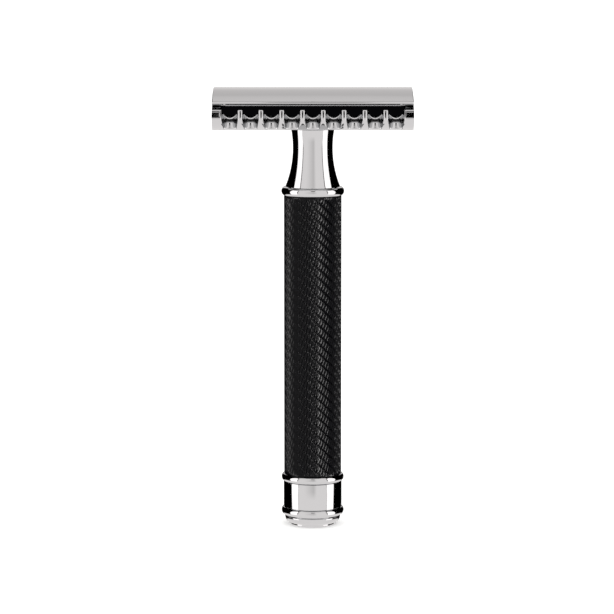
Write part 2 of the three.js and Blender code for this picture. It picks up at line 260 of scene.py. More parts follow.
# %% Tent
def studio_tent(radius=800.0, turns=361, rises=181):
    """A sphere round the razor: x = r sin(turn) cos(rise), y = -r cos(turn) cos(rise), z = r sin(rise).

    Its grid has a point for every degree of turn and of rise.
    """
    turn = np.linspace(-180, 180, turns)[None, :]
    rise = np.linspace(-89.9, 89.9, rises)[:, None]
    a, b = np.radians(turn), np.radians(rise)
    points = np.stack([np.sin(a) * np.cos(b), -np.cos(a) * np.cos(b), np.sin(b) + 0 * a], axis=-1)
    i = np.arange((rises - 1) * turns).reshape(rises - 1, turns)[:, :-1].ravel()
    faces = np.column_stack([i, i + turns, i + turns + 1, i + 1])
    mesh = bpy.data.meshes.new("studio_tent")
    mesh.from_pydata((radius * MM * points.reshape(-1, 3)).tolist(), [], faces.tolist())
    glow = tent_glow(turn + 0 * rise, rise + 0 * turn).astype(np.float32)
    mesh.attributes.new("glow", "FLOAT", "POINT").data.foreach_set("value", glow.ravel())
    return link_stage("studio_tent", mesh, tent_light())


tent = studio_tent()
tent.location.z = HEIGHT * MM / 2
tent.visible_camera = False
tent.visible_diffuse = False
tent.visible_shadow = False

# %% [markdown]
# ## Making surfaces
#
# Each piece is a grid of points worked out with numpy. A turned piece is a profile swept round the
# axis. A pressed or cast piece is a section carried along the head. A helper links the grid's points
# into quads, closes it where it has to close, and gives the mesh smooth shading with sharp corners.


# %% Mesh helpers
SHARP_ANGLE = math.radians(32)


def link_grid(rows, columns, wrap_rows=False, wrap_columns=False, offset=0):
    """Quads between neighbours of a grid of points, numbered row by row."""
    index = offset + np.arange(rows * columns).reshape(rows, columns)
    if wrap_rows:
        index = np.vstack([index, index[:1]])
    if wrap_columns:
        index = np.hstack([index, index[:, :1]])
    a, b = index[:-1, :-1], index[:-1, 1:]
    c, d = index[1:, 1:], index[1:, :-1]
    return np.stack([a, b, c, d], axis=-1).reshape(-1, 4)


def build_mesh(name, points, faces):
    """A mesh from points in millimetres, with doubles merged and all faces turned outwards."""
    mesh = bpy.data.meshes.new(name)
    mesh.from_pydata((np.asarray(points) * MM).tolist(), [], [list(map(int, f)) for f in faces])
    return tidy_mesh(mesh)


def tidy_mesh(mesh, merge=1e-7):
    """Merges doubles, points the faces out, and marks corners sharper than SHARP_ANGLE."""
    work = bmesh.new()
    work.from_mesh(mesh)
    bmesh.ops.remove_doubles(work, verts=work.verts, dist=merge)
    bmesh.ops.dissolve_degenerate(work, edges=work.edges, dist=merge)
    bmesh.ops.recalc_face_normals(work, faces=work.faces)
    work.to_mesh(mesh)
    work.free()
    mesh.shade_smooth()
    mesh.set_sharp_from_angle(angle=SHARP_ANGLE)
    return mesh


def add_piece(name, mesh, body, material, slot, *nodes):
    """Puts a finished mesh in the scene: what it rides on, its finish, and the CAD nodes it stands for."""
    piece = bpy.data.objects.new(name, mesh)
    bpy.context.scene.collection.objects.link(piece)
    mesh.materials.append(material)
    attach(piece, body)
    if nodes:
        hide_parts(*nodes)
    size = (np.array(piece.dimensions) / MM).round(2)
    print(f"{name}: {len(mesh.polygons)} faces, {size} mm")
    return piece


# %% Profiles
def arc(cx, cy, a, b, start, end, steps=12):
    """Points of an arc of an ellipse, from one angle to another in degrees."""
    t = np.radians(np.linspace(start, end, steps + 1))
    return np.column_stack([cx + a * np.cos(t), cy + b * np.sin(t)])


def rounded(corners, steps=5):
    """An outline with round corners. Each corner is (x, y) or (x, y, radius), and the outline is closed.

    A corner's arc touches both of its sides at radius / tan(half the corner's angle) from the corner.
    """
    outline = []
    count = len(corners)
    for i, corner in enumerate(corners):
        here = np.array(corner[:2], float)
        radius = corner[2] if len(corner) > 2 else 0
        if radius == 0:
            outline.append(here[None])
            continue
        before = np.array(corners[i - 1][:2], float) - here
        after = np.array(corners[(i + 1) % count][:2], float) - here
        before /= np.linalg.norm(before)
        after /= np.linalg.norm(after)
        half = math.acos(np.clip(before @ after, -1, 1)) / 2
        centre = here + (before + after) / np.linalg.norm(before + after) * radius / math.sin(half)
        first = here + before * radius / math.tan(half) - centre
        last = here + after * radius / math.tan(half) - centre
        start, sweep = math.atan2(first[1], first[0]), math.pi - 2 * half
        turn = np.sign(first[0] * last[1] - first[1] * last[0])
        t = start + turn * np.linspace(0, sweep, steps + 1)
        outline.append(centre + radius * np.column_stack([np.cos(t), np.sin(t)]))
    return np.concatenate(outline)


def resample(points, count, smooth=False):
    """The same line with evenly spaced points, by straight stretches or by a smooth curve through them."""
    points = np.asarray(points, float)
    if smooth:
        points = spline(points, 12)
    lengths = np.r_[0, np.cumsum(np.linalg.norm(np.diff(points, axis=0), axis=1))]
    at = np.linspace(0, lengths[-1], count)
    return np.column_stack([np.interp(at, lengths, points[:, k]) for k in range(points.shape[1])])


def spline(points, steps):
    """A Catmull-Rom curve: between two points, a cubic whose slopes come from their neighbours."""
    p = np.asarray(points, float)
    p = np.vstack([2 * p[0] - p[1], p, 2 * p[-1] - p[-2]])
    t = np.linspace(0, 1, steps, endpoint=False)[None, :, None]
    a, b, c, d = (p[i : len(p) - 3 + i, None, :] for i in range(4))
    curve = 0.5 * (2 * b + (c - a) * t + (2 * a - 5 * b + 4 * c - d) * t**2 + (3 * b - a - 3 * c + d) * t**3)
    return np.vstack([curve.reshape(-1, p.shape[1]), p[-2]])


# %% Turned surfaces
def turned_mesh(name, profile, segments=128, closed=False):
    """A profile of (radius, height) swept round Z: x = r cos a, y = r sin a, z = height.

    An open profile starts and ends on the axis, where its ring of points merges into one.
    """
    r, z = np.asarray(profile, float).T
    angle = np.linspace(0, 2 * np.pi, segments, endpoint=False)[:, None]
    points = np.stack([r * np.cos(angle), r * np.sin(angle), z + 0 * angle], axis=-1)
    faces = link_grid(segments, len(r), wrap_rows=True, wrap_columns=closed)
    return build_mesh(name, points.reshape(-1, 3), faces)


# %% Carried sections
def carried_mesh(name, sections):
    """Closed sections, each a row of (x, y, z) points, joined into a bar with a flat face at each end."""
    sections = np.asarray(sections, float)
    rows, columns, _ = sections.shape
    sides = link_grid(rows, columns, wrap_columns=True)
    first = list(range(columns))
    last = [(rows - 1) * columns + i for i in range(columns)]
    return build_mesh(name, sections.reshape(-1, 3), [*sides, first, last[::-1]])


def inset(outline, distance):
    """A closed (y, z) outline moved inwards along its own normals. It runs anticlockwise."""
    after, before = np.roll(outline, -1, axis=0), np.roll(outline, 1, axis=0)
    along = after - before
    normal = np.column_stack([-along[:, 1], along[:, 0]])
    normal /= np.maximum(np.linalg.norm(normal, axis=1, keepdims=True), 1e-9)
    return outline + distance * normal


def bar_along_x(name, outline, length, edge, steps=5):
    """A (y, z) outline carried along X and centred, with its end edges rounded to a radius.

    Over the last stretch of that radius the outline draws in along a quarter circle:
    x = length / 2 - edge (1 - cos t), drawn in by edge (1 - sin t), for t from 0 to 90 degrees.
    """
    t = np.linspace(0, np.pi / 2, steps + 1)
    x = length / 2 - edge * (1 - np.cos(t))
    depth = edge * (1 - np.sin(t))
    places = [*zip(-x, depth), *zip(x[::-1], depth[::-1])]
    sections = [np.column_stack([np.full(len(outline), at), inset(outline, d)]) for at, d in places]
    return carried_mesh(name, sections)


# %% Cutting
def cut_mesh(name, body, cutters):
    """The first mesh with the others cut out of it, each by an exact Boolean."""
    target = bpy.data.objects.new(name, body)
    bpy.context.scene.collection.objects.link(target)
    tools = []
    for cutter in cutters:
        tool = bpy.data.objects.new(f"{name}_cutter", cutter)
        bpy.context.scene.collection.objects.link(tool)
        modifier = target.modifiers.new("cut", "BOOLEAN")
        modifier.operation, modifier.solver, modifier.object = "DIFFERENCE", "EXACT", tool
        tools.append(tool)
    evaluated = target.evaluated_get(bpy.context.evaluated_depsgraph_get())
    mesh = bpy.data.meshes.new_from_object(evaluated)
    for obj in [target, *tools]:
        bpy.data.objects.remove(obj)
    mesh.name = name
    return tidy_mesh(mesh)


def upright_cutter(outline, low, high):
    """A prism that stands on an (x, y) outline between two heights."""
    outline = np.asarray(outline, float)
    levels = [np.column_stack([outline, np.full(len(outline), z)]) for z in (low, high)]
    return carried_mesh("cutter", levels)


def circle(x, y, radius, steps=48):
    """A closed round outline, without its last point, which would double the first."""
    return arc(x, y, radius, radius, 0, 360, steps)[:-1]


# %% [markdown]
# ## Bright chrome
#
# Real chrome plating is a mirror a few thousandths of a millimetre thick over polished metal. It is
# fully metallic, a neutral grey with a trace of blue, and almost perfectly smooth. What tells the eye
# that it is metal and not a picture of a mirror is the polisher's work: a faint unevenness that bends
# long reflections, and hairlines that soften them a little.


# %% Chrome
def bright_chrome(name="bright_chrome_plate_polished"):
    """Electroplated chrome on polished brass or zinc: mirror-bright, with a trace of polishing marks."""
    material, tree, output = new_material(name)
    place = add_node(tree, "ShaderNodeTexCoord")
    fine = {"Scale": 1 / (0.6 * MM), "Detail": 3.0}
    hairlines = add_node(tree, "ShaderNodeTexNoise", inputs=fine, Vector=place.outputs["Object"])
    rough = {"To Min": 0.035, "To Max": 0.075}
    gloss = add_node(tree, "ShaderNodeMapRange", inputs=rough, Value=hairlines.outputs["Fac"])
    broad = {"Scale": 1 / (3 * MM), "Detail": 1.0}
    waves = add_node(tree, "ShaderNodeTexNoise", inputs=broad, Vector=place.outputs["Object"])
    shallow = {"Strength": 0.04, "Distance": 0.02 * MM}
    bump = add_node(tree, "ShaderNodeBump", inputs=shallow, Height=waves.outputs["Fac"])
    shader = add_node(
        tree,
        "ShaderNodeBsdfPrincipled",
        inputs={"Base Color": linear("#C8C9CA"), "Metallic": 1.0},
        Roughness=gloss.outputs["Result"],
        Normal=bump.outputs["Normal"],
    )
    tree.links.new(shader.outputs[0], output.inputs["Surface"])
    return material


CHROME = bright_chrome()


# %% Painted shade in the comb's recesses
def paint_recess_shade(material, low, high, inside_y):
    """Painted shade: in the deep corners the chrome's colour is mixed to near black, for the shade that falls
    there.

    The corners are told by their place on the piece: closer to the middle than inside_y, and between
    two heights, all in mm.
    """
    tree = material.node_tree
    shader = next(n for n in tree.nodes if n.type == "BSDF_PRINCIPLED")
    place = add_node(tree, "ShaderNodeTexCoord")
    axes = add_node(tree, "ShaderNodeSeparateXYZ", Vector=place.outputs["Object"])
    away = add_node(tree, "ShaderNodeMath", {"operation": "ABSOLUTE"})
    tree.links.new(axes.outputs["Y"], away.inputs[0])
    shares = []
    for source, start, end in (
        (away.outputs[0], inside_y, inside_y - 0.12),
        (axes.outputs["Z"], low - 0.15, low + 0.1),
        (axes.outputs["Z"], high, high - 0.1),
    ):
        ramp = {"From Min": start * MM, "From Max": end * MM}
        step = add_node(tree, "ShaderNodeMapRange", inputs=ramp, Value=source)
        shares.append(step.outputs["Result"])
    shade_mask = shares[0]
    for share in shares[1:]:
        product = add_node(tree, "ShaderNodeMath", {"operation": "MULTIPLY"})
        tree.links.new(shade_mask, product.inputs[0])
        tree.links.new(share, product.inputs[1])
        shade_mask = product.outputs[0]
    # Painted shade: inside the mask the chrome's colour turns near black (#08080A).
    tone = add_node(tree, "ShaderNodeMix", {"data_type": "RGBA"})
    tone.inputs[6].default_value = linear("#C8C9CA")
    tone.inputs[7].default_value = linear("#08080A")
    tree.links.new(shade_mask, tone.inputs[0])
    tree.links.new(tone.outputs[2], shader.inputs["Base Color"])
    return material


COMB_CHROME = bright_chrome("bright_chrome_on_zinc_painted_shade")
# The comb's chrome gets painted shade in its slots and under the lip.
CHROME_WITH_PAINTED_SHADE = paint_recess_shade(COMB_CHROME, low=89.95, high=93.35, inside_y=9.74)


# %% [markdown]
# ## Blade steel
#
# A razor blade is hard stainless strip. Its flat is rolled and etched to a satin grey, and both long
# edges are ground in steps, so a band a millimetre wide along each edge is brighter and shows fine
# lines that run with the edge.


# %% Blade steel
def ground_blade_steel(edge_y, band=1.1):
    """Stainless strip, satin in the middle, with a bright ground band along each edge."""
    material, tree, output = new_material("stainless_blade_steel_ground")
    place = add_node(tree, "ShaderNodeTexCoord")
    axes = add_node(tree, "ShaderNodeSeparateXYZ", Vector=place.outputs["Object"])
    across = add_node(tree, "ShaderNodeMath", {"operation": "ABSOLUTE"})
    tree.links.new(axes.outputs["Y"], across.inputs[0])
    ramp = {"From Min": (edge_y - band) * MM, "From Max": (edge_y - band + 0.05) * MM}
    ground = add_node(tree, "ShaderNodeMapRange", inputs=ramp, Value=across.outputs[0])
    drawn = {"Scale": (40, 4000, 4000)}
    stretch = add_node(tree, "ShaderNodeMapping", inputs=drawn, Vector=place.outputs["Object"])
    fine = {"Scale": 1.0, "Detail": 2.0}
    lines = add_node(tree, "ShaderNodeTexNoise", inputs=fine, Vector=stretch.outputs[0])
    colour = add_node(tree, "ShaderNodeMix", {"data_type": "RGBA"}, Factor=ground.outputs["Result"])
    colour.inputs[6].default_value = linear("#9A9DA1")
    colour.inputs[7].default_value = linear("#C9CBCE")
    rough = {"To Min": 0.18, "To Max": 0.34}
    satin = add_node(tree, "ShaderNodeMapRange", inputs=rough, Value=lines.outputs["Fac"])
    shader = add_node(
        tree,
        "ShaderNodeBsdfPrincipled",
        inputs={"Metallic": 1.0},
        Roughness=satin.outputs["Result"],
        Base_Color=colour.outputs[2],
    )
    tree.links.new(shader.outputs[0], output.inputs["Surface"])
    return material


# %% [markdown]
# ## Black grip coating
#
# The grip is a brass tube with a wavy relief pressed into it, finished in a hard, glossy black film.
# The relief is real geometry below, and it does nearly all the work: a ridge only lights up where its
# flank faces a lamp, so the film needs no more than a near-black colour and a fine orange-peel grain.


# %% Black coating
def hard_black_film():
    """Glossy black film baked onto pressed brass, its gloss a little uneven from place to place."""
    material, tree, output = new_material("hard_black_film_on_brass")
    place = add_node(tree, "ShaderNodeTexCoord")
    fine = {"Scale": 1 / (0.25 * MM), "Detail": 2.0}
    grain = add_node(tree, "ShaderNodeTexNoise", inputs=fine, Vector=place.outputs["Object"])
    rough = {"To Min": 0.08, "To Max": 0.2}
    gloss = add_node(tree, "ShaderNodeMapRange", inputs=rough, Value=grain.outputs["Fac"])
    tone = add_node(tree, "ShaderNodeMix", {"data_type": "RGBA"})
    tone.inputs[6].default_value = linear("#030304")
    tone.inputs[7].default_value = linear("#070709")
    tree.links.new(grain.outputs["Fac"], tone.inputs[0])
    shader = add_node(
        tree,
        "ShaderNodeBsdfPrincipled",
        inputs={"IOR": 1.2},
        Roughness=gloss.outputs["Result"],
        Base_Color=tone.outputs[2],
    )
    tree.links.new(shader.outputs[0], output.inputs["Surface"])
    return material


BLACK = hard_black_film()

# %% [markdown]
# ## Inner metals and rubber
#
# The pieces inside the handle hardly show, but they do when the head is open or the razor is taken
# apart. Turned steel and brass keep the cutter's rings, which run round the axis, and the two seal
# rings are matt moulded rubber.


# %% Inner materials
def turned_metal(name, colour, low, high):
    """A metal straight from the lathe: rings of slightly different gloss, a tenth of a millimetre apart."""
    material, tree, output = new_material(name)
    place = add_node(tree, "ShaderNodeTexCoord")
    flat = {"Scale": (200, 200, 1 / (0.1 * MM))}
    flatten = add_node(tree, "ShaderNodeMapping", inputs=flat, Vector=place.outputs["Object"])
    fine = {"Scale": 1.0, "Detail": 1.0}
    rings = add_node(tree, "ShaderNodeTexNoise", inputs=fine, Vector=flatten.outputs[0])
    rough = {"To Min": low, "To Max": high}
    gloss = add_node(tree, "ShaderNodeMapRange", inputs=rough, Value=rings.outputs["Fac"])
    shader = add_node(
        tree,
        "ShaderNodeBsdfPrincipled",
        inputs={"Base Color": linear(colour), "Metallic": 1.0},
        Roughness=gloss.outputs["Result"],
    )
    tree.links.new(shader.outputs[0], output.inputs["Surface"])
    return material


def moulded_rubber():
    """Nitrile rubber from a polished mould: near black, matt, with a faint bloom."""
    material, tree, output = new_material("nitrile_rubber_moulded")
    place = add_node(tree, "ShaderNodeTexCoord")
    fine = {"Scale": 1 / (0.4 * MM)}
    bloom = add_node(tree, "ShaderNodeTexNoise", inputs=fine, Vector=place.outputs["Object"])
    rough = {"To Min": 0.55, "To Max": 0.8}
    matt = add_node(tree, "ShaderNodeMapRange", inputs=rough, Value=bloom.outputs["Fac"])
    shader = add_node(
        tree,
        "ShaderNodeBsdfPrincipled",
        inputs={"Base Color": linear("#1B1B1B")},
        Roughness=matt.outputs["Result"],
    )
    tree.links.new(shader.outputs[0], output.inputs["Surface"])
    return material


STEEL = turned_metal("free_cutting_steel_turned", "#A9ACB0", 0.22, 0.4)
BRASS = turned_metal("brass_turned", "#C9A25A", 0.2, 0.36)
RUBBER = moulded_rubber()
for node, material in {
    "tie_rod": STEEL,
    "collar_washer": STEEL,
    "tie_nut": STEEL,
    "upper_seal_ring": RUBBER,
    "lower_seal_ring": RUBBER,
}.items():
    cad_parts[node].data.materials.clear()
    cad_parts[node].data.materials.append(material)
print("materials:", [m.name for m in bpy.data.materials])

# %% [markdown]
# ## Top cap
#
# The cap is a bar of zinc with a crescent section: a shallow arc on top, a hollow underneath that
# bends the blade, and thin rims that press on it just behind its edges. The section is drawn once,
# as arcs, and carried along the head. Only its ends need more: their edges are rounded over.


# %% Blade line
BEND_RADIUS = 36.0
BLADE_THICKNESS = 0.1
BLADE_EDGE_Y = outer_radius("razor_blade")
BLADE_TOP = height_range("razor_blade")[1] - BLADE_THICKNESS / 2


def blade_height(y, offset=0.0):
    """Height of the bent blade's middle surface at y, moved out along its normal."""
    return BLADE_TOP - BEND_RADIUS + np.sqrt((BEND_RADIUS + offset) ** 2 - np.asarray(y) ** 2)


# %% Cap
CAP_HALF_WIDTH = outer_radius("top_cap")
CAP_LENGTH = 2 * span("top_cap")[1][0]
CROWN_RADIUS = 21.63
CAP_CLEARANCE = 0.15  # from the blade's middle surface to the cap


def cap_outline():
    """The crescent section as (y, z) points, anticlockwise from the right rim's lower corner."""
    centre = HEIGHT - CROWN_RADIUS
    shoulder = CAP_HALF_WIDTH - 0.25
    limit = math.degrees(math.asin(shoulder / CROWN_RADIUS))
    crown = arc(0, centre, CROWN_RADIUS, CROWN_RADIUS, 90 - limit, 90 + limit, 48)
    foot = float(blade_height(CAP_HALF_WIDTH, CAP_CLEARANCE))
    start, end = np.array([CAP_HALF_WIDTH, foot]), crown[0]
    corner = np.array([CAP_HALF_WIDTH + 0.03, crown[0, 1] - 0.12])
    t = np.linspace(0, 1, 9)[1:-1, None]
    rim = (1 - t) ** 2 * start + 2 * t * (1 - t) * corner + t**2 * end
    y = np.linspace(-CAP_HALF_WIDTH, CAP_HALF_WIDTH, 49)
    under = np.column_stack([y, blade_height(y, CAP_CLEARANCE)])
    return np.concatenate([rim, crown, (rim * [-1, 1])[::-1], under])


cap = bar_along_x("cap_shell", cap_outline(), CAP_LENGTH, edge=0.14)
add_piece("cap_shell", cap, "cap", CHROME, "chrome_plate", "top_cap")


# %% [markdown]
# ## Stud and pins
#
# The stud under the cap carries an M5 thread, 0.8 mm a turn. A thread is a radius that rises and
# falls as a wave, and the wave climbs one pitch for each turn round the axis. The pins are plain,
# with round tips that find their holes.


# %% Stud
def threaded_stud(radius, pitch, low, high, plain_from):
    """A stud with a rounded right-hand thread: radius = core + depth * wave(height / pitch - turn).

    The wave fades out at both ends of the thread, and the stud is plain from plain_from up.
    """
    z = np.arange(low, high, pitch / 8)
    angle = np.linspace(0, 2 * np.pi, 64, endpoint=False)[:, None]
    phase = z / pitch - angle / (2 * np.pi)
    wave = 0.5 + 0.5 * np.cos(2 * np.pi * phase)
    fade = np.clip((z - low) / pitch, 0, 1) * np.clip((plain_from - z) / pitch, 0, 1)
    depth = 0.26
    r = radius - depth + depth * (wave * fade + (z >= plain_from))
    taper = 0.5 * np.clip(1 - (z - low) / 0.5, 0, 1)
    r = r - taper
    axis = np.zeros((len(angle), 1))
    r = np.hstack([axis, r, axis])
    z = np.r_[low, z, z[-1]]
    points = np.stack([r * np.cos(angle), r * np.sin(angle), z + 0 * angle], axis=-1)
    faces = link_grid(len(angle), len(z), wrap_rows=True)
    return build_mesh("stud", points.reshape(-1, 3), faces)


stud_low = height_range("cap_stud")[0]
under_cap = float(blade_height(0, CAP_CLEARANCE))
stud = threaded_stud(2.4, 0.8, stud_low, under_cap + 0.3, plain_from=under_cap - 1.6)
add_piece("threaded_stud", stud, "cap", STEEL, "plain_steel", "cap_stud")


# %% Pins
PIN_LOW, PIN_HIGH = span("locating_pin_right")
PIN_RADIUS = (PIN_HIGH[1] - PIN_LOW[1]) / 2
PIN_X = (PIN_LOW[0] + PIN_HIGH[0]) / 2
TIP_ROUND = 0.35
for side in ("left", "right"):
    node = f"locating_pin_{side}"
    low, high = span(node)
    tip = arc(PIN_RADIUS - TIP_ROUND, low[2] + TIP_ROUND, TIP_ROUND, TIP_ROUND, -90, 0, 6)
    profile = np.vstack([[0, low[2]], tip, [PIN_RADIUS, under_cap + 0.3], [0, under_cap + 0.3]])
    pin = turned_mesh(node, profile, segments=48)
    pin.transform(Matrix.Translation(((low[0] + high[0]) / 2 * MM, 0, 0)))
    add_piece(f"pin_{side}", pin, "cap", CHROME, "chrome_plate", node)

# %% [markdown]
# ## Blade
#
# The blade is a sheet a tenth of a millimetre thick, bent over the comb plate. Its outline is the
# standard one: cutting edges down both sides, and a narrower tab at each end. The sheet is a grid
# across and along, its thickness runs out to nothing over the ground bevels, and the slot in the
# middle is cut out afterwards.


# %% Blade
BLADE_LENGTH = 2 * span("razor_blade")[1][0]
EDGE_HALF_LENGTH = 18.7
TAB_HALF_WIDTH = 6.6
NOTCH_RADIUS = 0.6


def blade_half_width(x):
    """Half of the blade's width at x: full along the edges, then down over a small round to the tab."""
    past = np.clip((np.abs(x) - EDGE_HALF_LENGTH) / NOTCH_RADIUS, 0, 1)
    step = 1 - np.sqrt(1 - (1 - past) ** 2)
    narrow = TAB_HALF_WIDTH + NOTCH_RADIUS * step
    corner = 0.35 * (1 - np.sqrt(1 - np.clip((np.abs(x) - BLADE_LENGTH / 2 + 0.35) / 0.35, 0, 1) ** 2))
    return np.where(np.abs(x) <= EDGE_HALF_LENGTH, BLADE_EDGE_Y, narrow) - corner


def blade_sheet():
    """Two surfaces over one grid: y = share * half width at x, and z on the bend at y.

    They lie half a thickness to either side of the bend, and the thickness runs out over the bevels.
    """
    steps = [
        np.linspace(0, EDGE_HALF_LENGTH, 20),
        EDGE_HALF_LENGTH + np.array([0.01, 0.05, 0.12, 0.25, 0.4, 0.6]),
        BLADE_LENGTH / 2 - np.array([0.35, 0.2, 0.1, 0.04, 0.0]),
    ]
    x = np.concatenate(steps)
    x = np.r_[-x[:0:-1], x][:, None]
    share = np.r_[np.linspace(-1, -0.92, 4)[:-1], np.linspace(-0.92, 0.92, 29), np.linspace(0.92, 1, 4)[1:]]
    y = share * blade_half_width(x)
    bevel = np.where(np.abs(x) <= EDGE_HALF_LENGTH, np.clip((BLADE_EDGE_Y - np.abs(y)) / 0.8, 0.02, 1), 1)
    sections = []
    for side in (-1, 1):
        z = blade_height(y, side * BLADE_THICKNESS / 2 * bevel)
        sections.append(np.stack([x + 0 * y, y, z], axis=-1))
    ring = np.concatenate([sections[0], sections[1][:, ::-1]], axis=1)
    return carried_mesh("blade_sheet", ring)


# %% Blade slot
def slot_outline():
    """The slot: a narrow slit with a round hole at the stud and another at each pin."""
    slit, hole, eye = 0.95, 2.75, 1.55
    reach = math.degrees(math.asin(slit / hole))
    eye_reach = math.degrees(math.asin(slit / eye))
    right = arc(PIN_X, 0, eye, eye, 0, 180 - eye_reach, 16)
    middle = arc(0, 0, hole, hole, reach, 180 - reach, 24)
    left = arc(-PIN_X, 0, eye, eye, eye_reach, 180, 16)
    upper = np.concatenate([right, middle, left])
    return np.vstack([upper, (upper * [1, -1])[-2:0:-1]])


blade = cut_mesh("blade", blade_sheet(), [upright_cutter(slot_outline(), low=88, high=99)])
BLADE_STEEL = ground_blade_steel(BLADE_EDGE_Y)
add_piece("double_edge_blade", blade, "blade", BLADE_STEEL, "blade_steel", "razor_blade")

# %% [markdown]
# ## Comb plate
#
# The comb plate is a zinc casting. Its middle is the bed that the blade bends over, and along each
# side runs a row of teeth that stretch the skin ahead of the edge. Between two teeth the casting is
# scooped out twice: a slot above, which lets lather through, and a flute below. A thin lip is left
# between them, lowest in the middle. The slots are dark inside from painted shade on their chrome.
#
# One section would do for a plain bar. Here there are three, one through a tooth, one through the
# middle of a gap and one through an end block, with their points in the same order. The plate is
# carried along a wavy path that says, at each place, how far the section is on its way from gap to
# tooth. Where the path runs round a tooth, the teeth come out round as well.


# %% Sections of the plate
PLATE_LOW = height_range("comb_plate")[0]
TOOTH_Y = outer_radius("comb_plate")
RIDGE_Y = 9.25
BED_CLEARANCE = -0.12  # from the blade's middle surface down to the bed


def section(outer, inner, ridge, counts=(36, 26, 12)):
    """A half section: the underside, the outer face, the inner face, the ridge, and the bed to the middle."""
    under = np.column_stack([np.linspace(0, 8.6, 5), np.full(5, PLATE_LOW)])[:-1]
    y = np.linspace(RIDGE_Y, 0, 18)
    bed = np.column_stack([y, blade_height(y, BED_CLEARANCE)])
    outer, inner = resample(outer, counts[0], smooth=True), resample(inner, counts[1], smooth=True)
    return np.concatenate([under, outer, inner[1:], resample(ridge, counts[2])[1:], bed[1:]])


bed_edge = (RIDGE_Y, float(blade_height(RIDGE_Y, BED_CLEARANCE)))
tooth_front = [(8.6, 88), (9.2, 88.02), (10, 88.22), (11, 88.72), (12, 89.42), (12.62, 90.1), (12.8, 90.6)]
tooth_front += [(12.76, 90.86), (12.48, 91.42), (12.22, 91.93)]
tooth_tip = [(12.22, 91.93), (12.12, 92.2), (11.98, 92.42), (11.82, 92.46), (11.7, 92.3), (11.45, 91.75)]
tooth_section = section(
    tooth_front,
    tooth_tip + [(10.9, 91.15), (10.3, 90.92), (9.95, 90.95), (9.75, 91.15)],
    [(9.75, 91.15), (9.55, 92.0), (9.38, 92.9), (9.32, 93.3), bed_edge],
)
gap_section = section(
    [(8.6, 88), (9.3, 88.02), (9.68, 88.1), (9.78, 88.28), (9.7, 88.5), (9.5, 89), (9.3, 89.48)]
    + [(9.1, 89.88), (9.02, 90.05), (9.2, 90.2), (9.6, 90.32), (10.0, 90.38), (10.16, 90.42), (10.2, 90.5)],
    [(10.2, 90.5), (10.18, 90.6), (10.08, 90.7), (9.92, 90.8), (9.76, 90.9), (9.62, 91.0), (9.55, 91.12)],
    [(9.55, 91.12), (9.46, 92.0), (9.37, 92.9), (9.32, 93.3), bed_edge],
)
block_section = section(
    tooth_front,
    tooth_tip[:3] + [(11.8, 92.5), (11.3, 92.6), (10.8, 92.74), (10.2, 92.9), (9.75, 93.05)],
    [(9.75, 93.05), (9.5, 93.2), (9.36, 93.4), bed_edge],
)
print(f"plate sections have {len(tooth_section)} points each")


# %% Path along the plate
SLOT_PITCH = 4.44
SLOT_COUNT = 9
TIP_HALF = 0.5  # half of a tooth's width at its tip
RIB_HALF = 0.86  # and where it meets the underside
PLATE_LENGTH = 2 * span("comb_plate")[1][0]


def comb_path():
    """One row for each step along the plate: x at the tips, x at the ribs, and the shares of tooth and block.

    In plan the path is half an ellipse round the root of each gap and half a smaller one round each
    tooth, both a little squarer than true ellipses: x goes with a power of the cosine, y with the sine.
    The share of tooth is how far out along Y the path has come.
    """
    turn = np.linspace(0, np.pi, 17)
    rows = []
    bulge = 0.3 / (TOOTH_Y - 10.2)
    for i in range(SLOT_COUNT):
        centre = (i - (SLOT_COUNT - 1) / 2) * SLOT_PITCH
        swing = -np.sign(np.cos(turn)) * np.abs(np.cos(turn)) ** 0.7
        share = (1 - bulge) * (1 - np.sin(turn))
        tips, ribs = SLOT_PITCH / 2 - TIP_HALF, SLOT_PITCH / 2 - RIB_HALF
        rows.append(np.column_stack([centre + swing * tips, centre + swing * ribs, share, 0 * share]))
        if i < SLOT_COUNT - 1:
            t = turn[1:-1]
            share = 1 - bulge * (1 - np.sin(t))
            at = centre + SLOT_PITCH / 2
            swing = -np.sign(np.cos(t)) * np.abs(np.cos(t)) ** 0.6
            rows.append(np.column_stack([at + swing * TIP_HALF, at + swing * RIB_HALF, share, 0 * share]))
    path = np.concatenate(rows)
    start = path[-1, :2]
    end = PLATE_LENGTH / 2
    t = np.array([0.03, 0.1, 0.2, 0.35, 0.55])[:, None]
    rise = np.sin(np.linspace(0.2, 1, 5) * np.pi / 2)[:, None]
    block = np.hstack([start + t * [1, 1], (1 - bulge) + bulge * rise, rise])
    t = np.radians(np.linspace(0, 90, 6))[:, None]
    edge = 0.22
    close = np.hstack([end - edge * (1 - np.sin(t)), end - edge * (1 - np.sin(t)), 1 + 0 * t, 1 + 0 * t])
    right = np.vstack([block, close])
    left = right[::-1] * [-1, -1, 1, 1]
    return np.vstack([left, path, right])


# %% Plate
SCOOP_RADIUS = 1.8
SCOOP_RISE = 1.25
LIP_Z, LIP_Y = 89.4, 9.5  # where the lip under a slot begins


